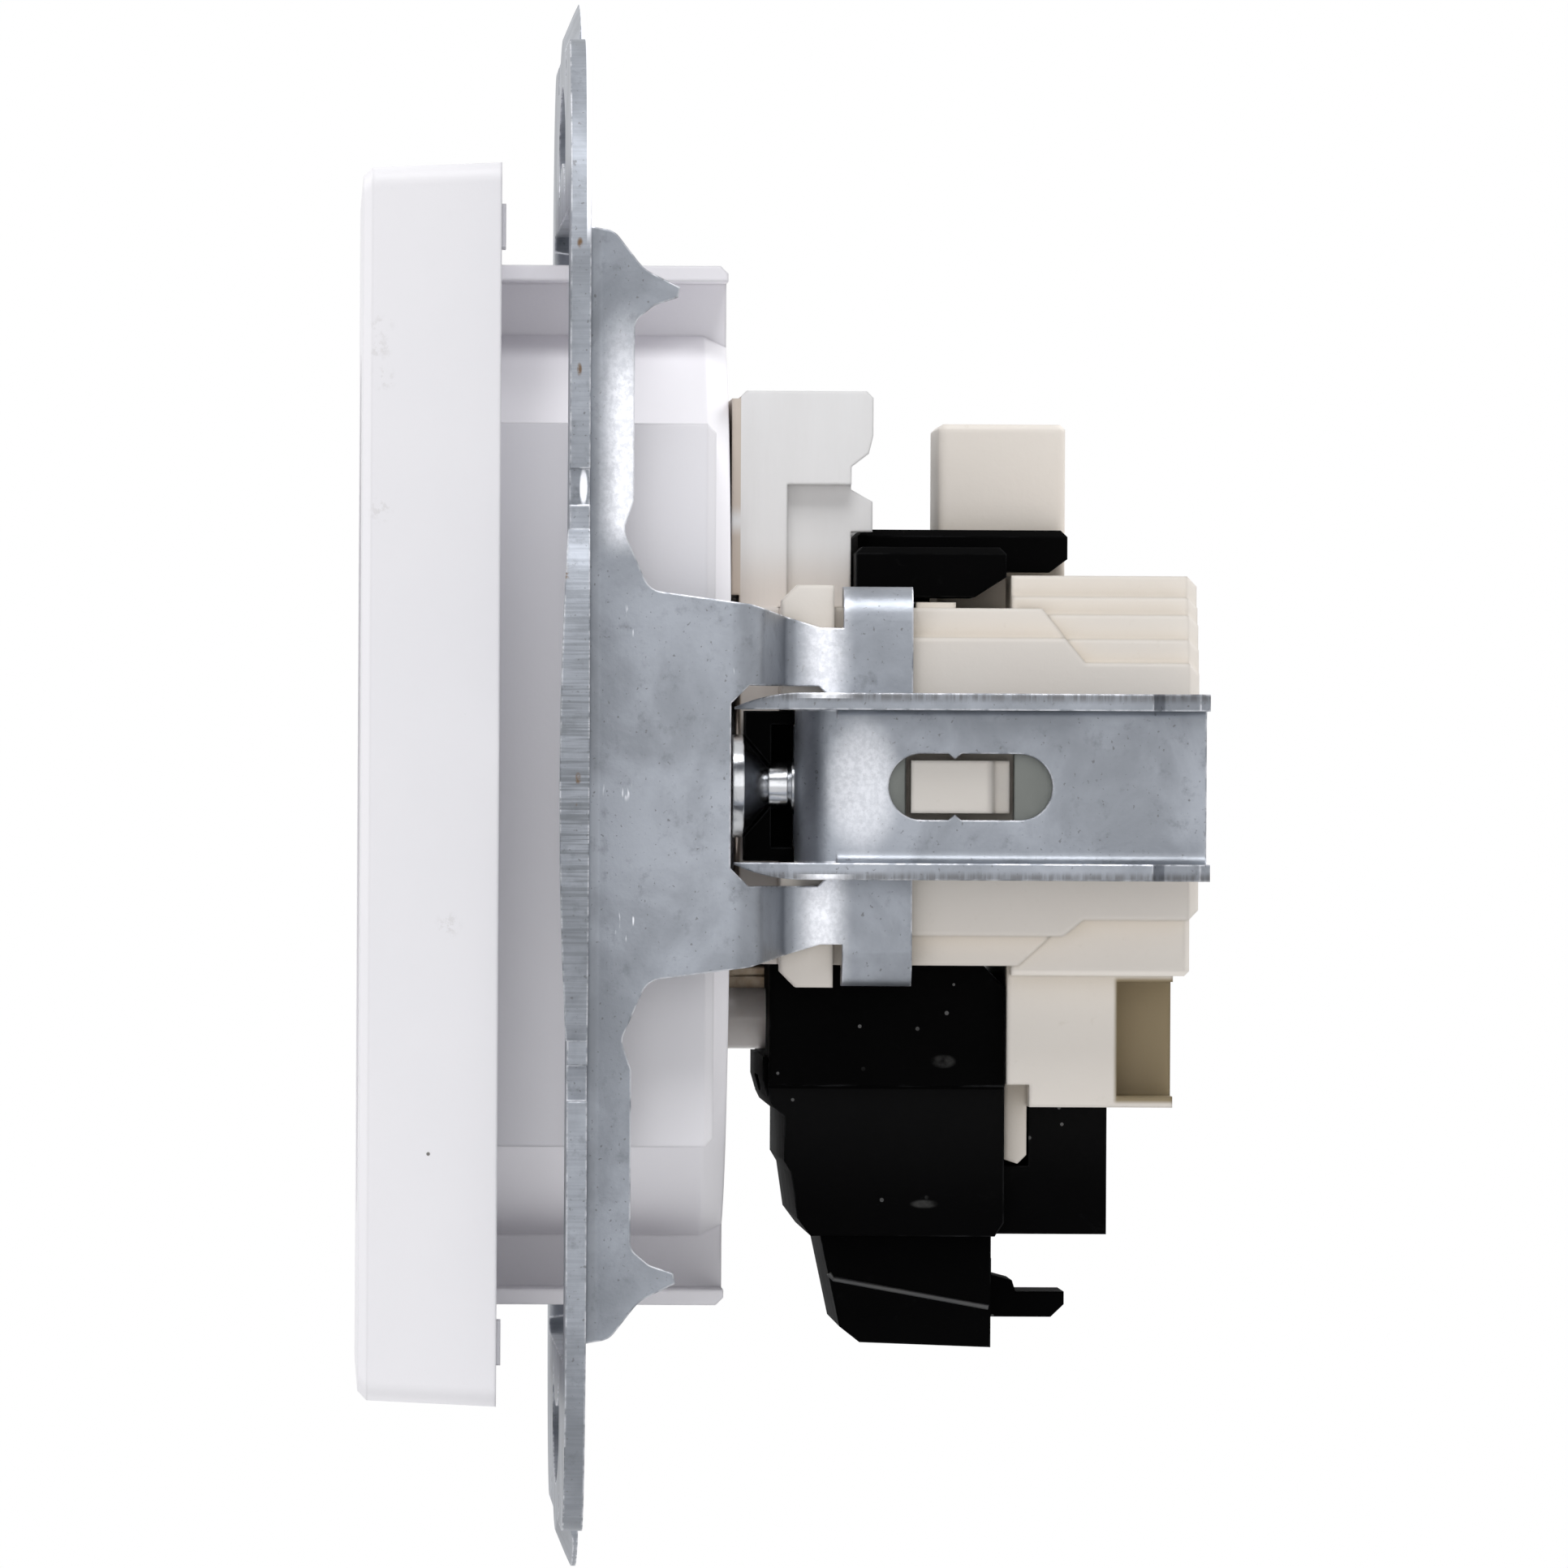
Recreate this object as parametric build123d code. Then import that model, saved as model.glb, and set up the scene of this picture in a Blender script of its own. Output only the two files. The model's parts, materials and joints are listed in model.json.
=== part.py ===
from build123d import *
import math
import os

# Recessed earthed two-pin socket outlet insert with a surge protection module.
# X is the width, Y runs from the room (-Y) into the wall (+Y) and Z is up.
# The origin is the centre of the support ring on its rear face, which meets the wall.

# Centre plate with its moulded dish
plate_size = 55.0
plate_draft = 0.25
plate_corner = 0.8
plate_edge = 0.4
plate_height = 10.0
plate_depth = 6.12
plate_wall = 1.6
plate_rib = 0.9
foot_size = 2.0
foot_height = 0.2
foot_place = 24.7
dish_radius = 19.5
dish_wall = 1.4
dish_depth = 15.5
dish_floor = 1.0
dish_rear_edge = 1.0
pocket_rise = 3.9
pocket_width = 9.6
pocket_wall = 0.7
pocket_side_wall = 0.9
pocket_lip_width = 19.2
pad_rise = 1.7
pad_width = 32.2
pad_setback = 0.73
guide_rib_width = 4.4
guide_rib_height = 2.3
guide_rib_setback = 3.0

# Plug pins, earth clips and indicator
pin_spacing = 19.0
pin_hole_radius = 2.7
pin_radius = 2.4
strap_width = 7.0
strap_thickness = 0.8
strap_leg = 9.0
clip_slot_width = 7.8
clip_slot_start = 3.0
clip_bump = 2.0
clip_lead = 1.0
clip_tip = 3.2
clip_spring = 6.5
clip_gap = 0.75
contact_length = 13.5
locating_pin_radius = 1.0
locating_pin_x = 9.5
locating_pin_z = 11.6
locating_pin_depth = 1.2
light_pipe_radius = 1.375
light_pipe_x = 6.0
light_pipe_z = -10.5

# Centre screw in its well
screw_head_radius = 2.75
screw_head_height = 1.6
screw_radius = 1.45
screw_length = 9.0
well_radius = 3.4
well_wall = 0.9
insert_radius = 2.4
insert_length = 5.0

# Support ring, one stamped and folded sheet
sheet = 0.9
ring_size = 66.2
ring_corner = 10.0
tab_reach = 35.5
tab_width = 24.6
tab_corner = 4.0
tab_bevel = 1.6
tab_edge = 0.2
tab_dome = 0.4
notch_width = 1.6
notch_depth = 1.3
opening_height = 51.2
opening_corner = 0.8
slot_radius = 30.0
slot_width = 3.5
slot_sweep = 38.0
screw_spacing = 60.0
screw_slot_length = 5.0
fold_radius = 0.6
fold_overlap = 1.0
joggle_reach = 4.95
flange_depth = 2.05
flange_height = 49.6
ear_depth = 4.05
ear_height = 44.1
neck_depth = 1.6
neck_height = 22.6
strap_height = 16.1
strap_depth = 7.25
leg_height = 14.1
joggle_length = 1.35
window_start = 6.4
window_end = 11.2
window_height = 8.9
clamp_start = 11.5
clamp_end = 14.6
hook_height = 17.8
hook_lap = 2.5
hook_radius = 0.6
tongue_end = 22.2
tongue_height = 6.2

# Base moulding, with contacts behind its front face
base_half_width = 19.5
base_front = 8.75
base_rear = 27.4
base_front_height = 15.95
base_face_height = 13.28
base_ledge = 0.9
terrace_start = 19.1
terrace_insets = (0, 0.6, 1.3, 2.2, 3.2)
terrace_tops = (5.55, 6.6, 7.7, 8.5, 9.47)
terrace_low_inset = 1.1
terrace_low_top = 5.9
terrace_low_depth = 8.4
terrace_bevel = 0.45
base_bottom_rear = 27.05
wedge_slope = 1.0
wedge_reach = 3.3
block_inset = 3.0
block_rear = 26.4
block_bottom = 14.3
block_recess_start = 23.9
block_recess_depth = 2.5
foot_thickness = 1.0
foot_drop = 2.6
foot_half_width = 13.0
tower_start = 16.1
tower_end = 21.85
tower_top = 16.4
tower_half_width = 6.1
tower_round = 0.45
stop_height = 0.27
nose_length = 2.35
nose_height = 8.97
nose_root = 7.3
nose_depth = 3.0
stud_start = 14.5
stud_length = 3.6
stud_ramp = 0.8
stud_height = 2.34
stud_rise = 0.2
wire_hole_radius = 1.7
wire_hole_depth = 4.0
wire_hole_spread = 4.4
wire_hole_height = 3.6

# Contact cover
cover_front = 7.0
cover_guide_gap = 0.3
cover_shoulder = 3.0
cover_top = 17.75
cover_rear = 12.03
cover_head_rear = 13.0
cover_head_bottom = 15.75
cover_step = 13.55
cover_step_front = 9.15
cover_inset = 0.9
cover_pad_top = 17.4
cover_pad = 0.35

# Claws with their screws
claw_sheet = 0.75
claw_height = 8.3
claw_gap = 0.2
claw_rail_height = 3.0
claw_bend = 0.5
claw_rail_start = 6.6
claw_web_start = 9.35
claw_web_bend = 1.1
claw_pinch = 0.65
claw_pinch_length = 3.0
claw_end = 27.5
claw_tab_width = 5.4
claw_tab_lap = 3.3
claw_slot_start = 13.5
claw_slot_end = 20.8
claw_slot_width = 2.95
claw_tooth_length = 1.85
claw_tooth_rise = 1.2
claw_screw_inset = 1.6
claw_head_radius = 2.3
claw_head_front = 6.6
claw_head_height = 0.5
claw_cone = 1.13
claw_neck_radius = 1.05
claw_thread_radius = 1.25
claw_screw_end = 20.4
guide_wall = 0.5
guide_width = 6.7
guide_depth = 4.2

# Release levers
lever_start = 12.15
lever_end = 18.9
lever_bottom = 8.5
lever_top = 10.73
lever_width = 7.0
lever_inset = 4.1
lever_round = 0.3
lever_pivot_y = 13.75
lever_pivot_z = 8.6
lever_pivot_radius = 0.9
earth_lever_end = 21.9
earth_lever_bottom = 9.7
earth_lever_top = 11.6
earth_lever_arm = 1.6

# Surge protection module
module_half_width = 15.0
module_front = 8.4
module_rear = 18.95
module_bottom = 20.15
module_step = 13.4
module_inset = 0.6
module_tail_rear = 23.6
module_tail_half_width = 13.0
lid_half_width = 11.0
lid_bottom = 25.2
lid_rear = 18.5
prong_half_width = 4.0
prong_end = 22.05
prong_drop = 1.15
catch_height = 1.5
board_front = 8.15
board_top = 12.15
board_bottom = 13.9
module_lip = 14.0
module_chin = 16.8
module_face_step = 0.7
board_half_width = 13.0

# Clearances
loose = 0.2
fit = 0.1
running = 0.05

# Places that follow from the sizes above
plate_face_y = -plate_height
plate_rear_y = plate_face_y + plate_depth
floor_y = plate_face_y + dish_depth
pot_rear_y = floor_y + dish_floor
pot_radius = dish_radius + dish_wall
pin_x = pin_spacing / 2
well_floor_y = floor_y + screw_head_height
well_rear_y = well_floor_y + well_wall
strap_web_y = base_front + 0.25
strap_web_rear = strap_web_y + strap_thickness
clip_y = floor_y - strap_thickness
base_top = base_front_height / 2
leg_face = base_half_width + running + sheet
flange_face = leg_face + joggle_reach
hook_reach = base_half_width - hook_lap
pocket_reach = dish_radius + pocket_rise
pad_reach = dish_radius + pad_rise
claw_face = leg_face + claw_gap + claw_sheet
claw_rail_top = claw_face + claw_rail_height
claw_tab_reach = base_half_width - claw_tab_lap
claw_screw_x = base_half_width - claw_screw_inset
guide_floor = base_half_width - guide_depth
guide_top = base_half_width - base_ledge
cover_plate_half_width = guide_floor - cover_guide_gap
cover_half_width = cover_plate_half_width - cover_shoulder
lever_outer = base_half_width - lever_inset
lever_inner = lever_outer - lever_width
stud_face = claw_face + stud_rise
block_half_width = base_half_width - block_inset
terrace_low_width = base_half_width - terrace_low_inset
foot_start = module_rear + running
insert_start = strap_web_rear


# Extrusions along each axis, between two depths
def slab_x(sketch, start, end):
    return extrude(Plane.YZ.offset(start) * sketch, amount=end - start)


def slab_y(sketch, start, end):
    return extrude(Plane.XZ.offset(-start) * sketch, amount=start - end)


def slab_z(sketch, start, end):
    return extrude(Plane.XY.offset(start) * sketch, amount=end - start)


def block(x, y, z):
    limits = (x, y, z)
    size = [high - low for low, high in limits]
    middle = [(low + high) / 2 for low, high in limits]
    return Pos(*middle) * Box(*size)


def rod_y(x, z, radius, start, end):
    return slab_y(Pos(x, z) * Circle(radius), start, end)


def outline(*points):
    return make_face(Polyline(*points, close=True))


def rounded(sketch, radius):
    return fillet(sketch.vertices(), radius)


def both_sides(shape):
    return shape + mirror(shape, about=Plane.YZ)


def top_and_bottom(shape):
    return shape + mirror(shape, about=Plane.XY)


def facing(solid, axis, index):
    return solid.faces().sort_by(axis)[index].edges()


# The centre plate: a drafted square cap and the dish pot, moulded in one piece
def plate_cap():
    front_size = plate_size - 2 * plate_draft
    sections = []
    for depth, size in ((plate_face_y, front_size - 2 * plate_edge),
                        (plate_face_y + plate_edge, front_size), (plate_rear_y, plate_size)):
        sections.append((Plane.XZ.offset(-depth) * RectangleRounded(size, size, plate_corner)).face())
    cap = loft(sections[:2]) + loft(sections[1:])
    inner_size = front_size - 2 * plate_wall
    cap -= slab_y(Rectangle(inner_size, inner_size), plate_face_y + plate_wall, plate_rear_y)
    rib_end = inner_size / 2 + plate_wall / 2
    for angle in (45, 135, 225, 315):
        rib = block((pot_radius, rib_end * math.sqrt(2)), (plate_face_y + plate_wall, plate_rear_y - 1),
                    (-plate_rib / 2, plate_rib / 2))
        cap += Rot(0, angle, 0) * rib
    for x in (-foot_place, foot_place):
        for z in (-foot_place, foot_place):
            cap += block((x - foot_size / 2, x + foot_size / 2), (plate_rear_y, plate_rear_y + foot_height),
                         (z - foot_size / 2, z + foot_size / 2))
    return cap


def pocket_pair():
    start = plate_face_y + plate_wall / 2
    hollow_reach = pocket_reach - pocket_wall
    hollow_half = pocket_width / 2 - pocket_side_wall
    body = slab_y(Rectangle(pocket_width, 2 * pocket_reach), start, pot_rear_y)
    lip_half = pocket_lip_width / 2
    for side in (-1, 1):
        low, high = sorted((side * hollow_reach, side * pocket_reach))
        body += block((-lip_half, lip_half), (start, pot_rear_y), (low, high))
        low, high = sorted((side * hollow_reach, side * (dish_radius - plate_wall)))
        body -= block((-hollow_half, hollow_half), (plate_face_y + plate_wall, pot_rear_y - pocket_wall),
                      (low, high))
    rows = facing(body, Axis.Y, -1).group_by(Axis.Z)
    return chamfer(rows[0] + rows[-1], pocket_wall / 2)


def dish_pot():
    start = plate_face_y + plate_wall / 2
    pot = rod_y(0, 0, pot_radius, start, pot_rear_y)
    pot = chamfer(facing(pot, Axis.Y, -1), dish_rear_edge, dish_rear_edge / 2)
    pads = slab_y(Rectangle(2 * pad_reach, pad_width), start, pot_rear_y - pad_setback)
    pads = chamfer(facing(pads, Axis.Y, -1), plate_edge)
    return pot + pads + pocket_pair()


def plate_well():
    return rod_y(0, 0, well_radius + well_wall, pot_rear_y - dish_floor / 2, well_rear_y)


def centre_plate():
    plate = plate_cap() + dish_pot() + plate_well()
    plate -= rod_y(0, 0, dish_radius, plate_face_y - 1, floor_y)
    rib_half = guide_rib_width / 2
    rib_inner = dish_radius - guide_rib_height
    for side in (-1, 1):
        low, high = sorted((side * rib_inner, side * (dish_radius + dish_wall / 2)))
        plate += block((low, high), (plate_face_y + guide_rib_setback, floor_y), (-rib_half, rib_half))
    slot_half = clip_slot_width / 2
    slot_start = plate_face_y + clip_slot_start
    reach = pocket_reach - pocket_wall
    plate -= block((-slot_half, slot_half), (slot_start, floor_y), (-reach, -dish_radius + 1.0))
    plate -= block((-slot_half, slot_half), (slot_start, floor_y), (dish_radius - 1.0, reach))
    plate -= rod_y(0, 0, well_radius, floor_y - 1, well_floor_y)
    plate -= rod_y(0, 0, screw_radius + fit, well_floor_y - 1, well_rear_y + 1)
    for x in (-pin_x, pin_x):
        plate -= rod_y(x, 0, pin_hole_radius, floor_y - 1, pot_rear_y + 1)
    for x in (-locating_pin_x, locating_pin_x):
        plate += rod_y(x, locating_pin_z, locating_pin_radius, floor_y + dish_floor / 2,
                       cover_front + locating_pin_depth)
    plate -= rod_y(light_pipe_x, light_pipe_z, light_pipe_radius + fit, floor_y - 1, pot_rear_y + 1)
    strap_gap = strap_width / 2 + loose
    for z in (-strap_leg, strap_leg):
        plate -= block((-strap_gap, strap_gap), (floor_y - 1, pot_rear_y + 1),
                       (z - strap_thickness / 2 - loose, z + strap_thickness / 2 + loose))
    return plate


def centre_screw():
    head = rod_y(0, 0, screw_head_radius, floor_y, well_floor_y)
    head = chamfer(facing(head, Axis.Y, 0), screw_head_height / 4)
    shank = rod_y(0, 0, screw_radius, well_floor_y, well_floor_y + screw_length)
    cross = Rectangle(2 * screw_radius, 0.6) + Rectangle(0.6, 2 * screw_radius)
    return head + shank - slab_y(cross, floor_y - 1, floor_y + screw_head_height / 2)


def screw_insert():
    end = insert_start + insert_length
    sleeve = rod_y(0, 0, insert_radius, insert_start, end)
    return sleeve - rod_y(0, 0, screw_radius + fit, insert_start - 1, end + 1)


# The support ring: plate, folded flanges, joggled straps and clamp hooks from one sheet
def ring_blank():
    rim = outline(
        (0, -sheet),
        (tab_reach - tab_bevel, -sheet),
        (tab_reach - tab_bevel / 3, -sheet / 2),
        (tab_reach, -tab_edge),
        (tab_reach, 0),
        (0, 0),
    )
    tab = rounded(Rectangle(tab_width, 2 * tab_reach) & Circle(tab_reach), tab_corner)
    upright_tabs = revolve(rim, Axis.Y) & slab_y(tab, -sheet, 0)
    dome_radius = tab_width ** 2 / 8 / tab_dome
    dome = Pos(0, dome_radius - sheet - tab_dome, 0) * Rot(0, 90, 0) * Cylinder(dome_radius, 2 * tab_reach)
    side_tabs = slab_y(Rot(0, 0, 90) * tab, -sheet - tab_dome, 0) & dome
    side_tabs -= slab_y(Rectangle(ring_size, tab_width), -sheet - 2 * tab_dome, 0)
    plate = slab_y(RectangleRounded(ring_size, ring_size, ring_corner), -sheet, 0)
    return plate + upright_tabs + side_tabs


def ring_plate():
    plate = ring_blank()
    notch_place = (tab_width + notch_width) / 2
    notch_bottom = ring_size / 2 - notch_depth
    for quarter in range(4):
        turn = Rot(0, 90 * quarter, 0)
        for z in (-notch_place, notch_place):
            cut = block((notch_bottom, ring_size / 2 + 1), (-2 * sheet, sheet),
                        (z - notch_width / 2, z + notch_width / 2))
            plate -= turn * cut
    opening_width = 2 * (flange_face + fold_radius)
    plate -= slab_y(RectangleRounded(opening_width, opening_height, opening_corner), -2 * sheet, sheet)
    for middle in (90, 270):
        arc = CenterArc((0, 0), slot_radius, middle - slot_sweep / 2, slot_sweep)
        plate -= slab_y(SlotArc(arc, slot_width), -2 * sheet, sheet)
    for x in (-screw_spacing / 2, screw_spacing / 2):
        slot = Pos(x, 0) * SlotOverall(screw_slot_length, slot_width)
        plate -= slab_y(slot, -2 * sheet, sheet)
    return plate


def fold_profile():
    middle = flange_face - sheet / 2
    leg = leg_face - sheet / 2
    joggle_y = strap_depth + joggle_length
    path = FilletPolyline(
        (flange_face + fold_radius + fold_overlap, -sheet / 2),
        (middle, -sheet / 2),
        (middle, strap_depth),
        (leg, joggle_y),
        (leg, tongue_end),
        radius=fold_radius + sheet / 2,
    )
    return trace(path, sheet)


def fold_outline():
    half = [
        (-sheet, flange_height / 2 + 0.1, 0),
        (flange_depth * 0.55, flange_height / 2 - 0.25, 0.9),
        (flange_depth + 0.4, flange_height / 2 - 1.95, 1.6),
        (ear_depth, ear_height / 2, 0),
        (ear_depth - 0.1, ear_height / 2 - 0.45, 0),
        (ear_depth - 1.15, ear_height / 2 - 0.8, 0.6),
        (flange_depth, ear_height / 2 - 1.5, 0.7),
        (flange_depth, neck_height / 2 + 1.3, 0),
        (neck_depth, neck_height / 2, 0.8),
        (flange_depth + 0.7, strap_height / 2 + 0.6, 1.0),
        (strap_depth, strap_height / 2, 0),
        (window_end - 0.7, leg_height / 2, 0),
        (clamp_end, leg_height / 2, 0),
        (clamp_end, tongue_height / 2, 0),
        (tongue_end, tongue_height / 2, 1.0),
    ]
    face = outline(*[(y, z) for y, z, radius in half], *[(y, -z) for y, z, radius in reversed(half)])
    for y, z, radius in half:
        if radius:
            corners = [v for v in face.vertices() if abs(v.X - y) < 0.01 and abs(abs(v.Y) - z) < 0.01]
            face = fillet(corners, radius)
    return face


def clamp_hook():
    middle = leg_face - sheet / 2
    top = hook_height / 2 - sheet / 2
    path = FilletPolyline(
        (middle, leg_height / 2 - 2),
        (middle, top),
        (hook_reach, top),
        radius=hook_radius + sheet / 2,
    )
    return slab_y(trace(path, sheet), clamp_start, clamp_end)


def side_strap():
    reach = flange_height / 2 + 1
    strap = slab_z(fold_profile(), -reach, reach)
    strap &= slab_x(fold_outline(), base_half_width - 1, ring_size / 2)
    strap += top_and_bottom(clamp_hook())
    window_length = window_end - window_start
    window = Pos(window_start + window_length / 2, 0) * Rectangle(window_length, window_height)
    window = chamfer(window.vertices(), 0.8)
    strap -= slab_x(window, base_half_width - 1, ring_size / 2 - 2)
    stud_end = stud_start + stud_length + stud_ramp
    hole_half = stud_height / 2 + 2 * loose
    strap -= block((base_half_width - 1, leg_face + 1), (stud_start - loose, stud_end + loose),
                   (-hole_half, hole_half))
    return strap


def support_ring():
    return ring_plate() + both_sides(side_strap())


# The base moulding: front body, terraced rear body, lower block, tower, studs and noses
def front_profile():
    inner = base_half_width - base_ledge
    return Rectangle(2 * base_half_width, base_face_height) + Rectangle(2 * inner, base_front_height)


def terrace_profile():
    body = Rectangle(2 * terrace_low_width, 2 * terrace_low_top)
    for inset, top in zip(terrace_insets, terrace_tops):
        body += Pos(0, top / 2) * Rectangle(2 * (base_half_width - inset), top)
    return body + Pos(0, -terrace_low_top / 2) * Rectangle(2 * base_half_width, terrace_low_top)


def rear_body():
    body = slab_y(terrace_profile(), terrace_start, base_rear)
    body = chamfer(facing(body, Axis.Y, -1), terrace_bevel)
    low = block((-terrace_low_width, terrace_low_width), (terrace_start, base_bottom_rear),
                (-terrace_low_depth, -terrace_low_top + 1))
    low_edges = low.edges().filter_by(Axis.Y).group_by(Axis.Z)[0] + facing(low, Axis.Y, -1)
    body += chamfer(low_edges, terrace_bevel / 2)
    channel_half = tower_half_width + loose + earth_lever_arm + 2 * loose
    channel_end = earth_lever_end + 3 * loose
    return body - block((-channel_half, channel_half), (terrace_start - 1, channel_end),
                        (base_top, terrace_tops[-1] + 1))


def side_wedges():
    start = terrace_start - 0.5
    end = terrace_start + wedge_reach
    side = base_face_height / 2
    upper = terrace_tops[0] - 0.1
    lower = terrace_low_top - 0.1
    ledge = base_half_width - base_ledge
    faces = (
        (base_half_width, outline((start, side), (end - wedge_slope, side), (end, upper), (start, upper))),
        (ledge, outline((start, base_top), (end - 2 * wedge_slope, base_top), (end, upper), (start, upper))),
        (base_half_width, outline((start, -side), (end - wedge_slope, -side), (end, -lower),
                                  (start, -lower))),
        (ledge, outline((start, -base_top), (end - 3 * wedge_slope, -base_top), (end - 0.6, -lower),
                        (start, -lower))),
    )
    wedges = Part()
    for reach, face in faces:
        wedges += slab_x(face, reach - base_ledge - 0.2, reach)
    return both_sides(wedges)


def lower_block():
    profile = outline(
        (foot_start, -base_top + 1),
        (block_rear, -base_top + 1),
        (block_rear, -block_bottom),
        (foot_start + foot_thickness, -block_bottom),
        (foot_start + foot_thickness, -block_bottom + 1),
        (foot_start, -block_bottom + 1),
    )
    body = slab_x(profile, -block_half_width, block_half_width)
    foot = outline(
        (foot_start, -block_bottom + 1.5),
        (foot_start + foot_thickness, -block_bottom + 1.5),
        (foot_start + foot_thickness, -block_bottom - foot_drop + 0.4),
        (foot_start + foot_thickness - 0.4, -block_bottom - foot_drop),
        (foot_start, -block_bottom - foot_drop + 0.2),
    )
    body += slab_x(foot, -foot_half_width, foot_half_width)
    recess = block((block_half_width - block_recess_depth, block_half_width + 1),
                   (block_recess_start, block_rear + 1), (-block_bottom + 0.5, -base_top - 0.7))
    return body - both_sides(recess)


def lever_stop():
    reach = terrace_low_width - 2 * base_ledge
    return block((-reach, reach), (lever_pivot_y + lever_pivot_radius + loose, tower_start + 0.5),
                 (base_top - 1, base_top + stop_height))


def tower():
    profile = rounded(Pos(0, (tower_start + tower_end) / 2) *
                      Rectangle(2 * tower_half_width, tower_end - tower_start), tower_round)
    body = slab_z(profile, base_top - 1, tower_top)
    return chamfer(facing(body, Axis.Z, -1), tower_round / 2)


def latch_nose():
    bevel = 0.7
    profile = outline(
        (base_front, nose_root - 1),
        (base_front + nose_length, nose_root - 1),
        (base_front + nose_length, nose_height),
        (base_front + bevel, nose_height),
        (base_front, nose_height - bevel),
    )
    return slab_x(profile, base_half_width - nose_depth, base_half_width)


def claw_stud():
    end = stud_start + stud_length
    profile = outline(
        (base_half_width - 0.5, stud_start),
        (stud_face, stud_start),
        (stud_face, end - 0.2),
        (stud_face - 0.2, end),
        (stud_face - 0.7, end + 0.15),
        (stud_face - 0.9, end + stud_ramp),
        (base_half_width - 0.5, end + stud_ramp),
    )
    return slab_z(profile, -stud_height / 2, stud_height / 2)


def contact_cavity(x):
    half = pin_radius + 2 * loose + strap_thickness
    return block((x - half, x + half), (base_front - 1, base_front + contact_length), (-half, half))


def wire_holes():
    holes = Part()
    for pole in (-pin_x, pin_x):
        for z in (-wire_hole_height, wire_hole_height):
            holes += rod_y(pole + math.copysign(wire_hole_spread - 2, pole), z, wire_hole_radius,
                           base_rear - wire_hole_depth, base_rear + 1)
    tower_hole_z = (base_top + tower_top) / 2 + 1
    for x in (-tower_half_width / 2, tower_half_width / 2):
        holes += rod_y(x, tower_hole_z, wire_hole_radius, tower_end - wire_hole_depth, tower_end + 1)
    return holes


def screw_channel():
    half = guide_width / 2 + running
    pocket = block((guide_floor - running, base_half_width + 1), (base_front - 1, window_end), (-half, half))
    return pocket + rod_y(claw_screw_x, 0, claw_thread_radius + fit, window_end - 1, claw_screw_end + loose)


def base():
    body = slab_y(front_profile(), base_front, terrace_start + 0.2)
    body += rear_body() + side_wedges() + lower_block() + lever_stop() + tower()
    body += both_sides(top_and_bottom(latch_nose()) + claw_stud())
    body -= both_sides(screw_channel())
    for x in (-pin_x, pin_x):
        body -= contact_cavity(x)
    body -= wire_holes()
    strap_gap = strap_width / 2 + loose
    body -= block((-strap_gap, strap_gap), (base_front - 1, strap_web_rear), (-base_top - 1, base_top + 1))
    body -= rod_y(0, 0, insert_radius, base_front, insert_start + insert_length)
    body -= rod_y(0, 0, screw_radius + fit, base_front, well_floor_y + screw_length + 1)
    pivot = slab_x(Pos(lever_pivot_y, lever_pivot_z) * Circle(lever_pivot_radius + running),
                   -lever_outer - loose, lever_outer + loose)
    return body - pivot


# The cover over the contacts: a pierced plate with a thick stepped head
def cover_head():
    profile = outline(
        (cover_front, base_top - 1),
        (cover_front, cover_top - 0.3),
        (cover_front + 0.3, cover_top),
        (cover_head_rear - 0.3, cover_top),
        (cover_head_rear, cover_top - 0.3),
        (cover_head_rear, cover_head_bottom),
        (cover_head_rear - 0.2, cover_head_bottom - 0.8),
        (cover_rear, cover_head_bottom - 1.4),
        (cover_rear, base_top + running),
        (base_front, base_top + running),
        (base_front, base_top - 1),
    )
    head = slab_x(profile, -cover_half_width, cover_half_width)
    step = block((cover_half_width - cover_inset, cover_half_width + 1), (cover_step_front, cover_rear + 0.2),
                 (base_top - 2, cover_step))
    wedge = outline(
        (cover_rear - 0.2, cover_step - 0.2),
        (cover_rear, cover_step - 0.2),
        (cover_head_rear, cover_step - 0.75),
        (cover_head_rear, cover_step - 2.1),
        (cover_rear - 0.2, cover_step - 2.1),
    )
    lever_side = tower_half_width + loose + earth_lever_arm + 2 * loose
    wedge_part = slab_x(wedge, lever_side, cover_half_width - cover_inset)
    pad = block((-cover_half_width, cover_half_width), (cover_front - cover_pad, cover_front + 0.5),
                (base_top + 3 * loose, cover_pad_top))
    return head - both_sides(step) + both_sides(wedge_part) + pad


def contact_cover():
    width = cover_plate_half_width
    cover = block((-width, width), (cover_front, base_front), (-base_top, base_top)) + cover_head()
    for x in (-pin_x, pin_x):
        cover -= rod_y(x, 0, pin_hole_radius + loose, cover_front - 1, base_front + 1)
        cover -= rod_y(x, locating_pin_z, locating_pin_radius + fit, cover_front - 1,
                       cover_front + locating_pin_depth + loose)
    cover -= rod_y(0, 0, well_radius + well_wall + loose, cover_front - 1, base_front + 1)
    strap_gap = strap_width / 2 + loose
    gap_reach = strap_leg + strap_thickness / 2 + loose
    cover -= block((-strap_gap, strap_gap), (cover_front - 1, strap_web_rear + loose),
                   (strap_leg - strap_thickness / 2 - loose, gap_reach))
    cover -= block((-strap_gap, strap_gap), (base_front - loose, strap_web_rear + loose), (0, gap_reach))
    return cover


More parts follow.
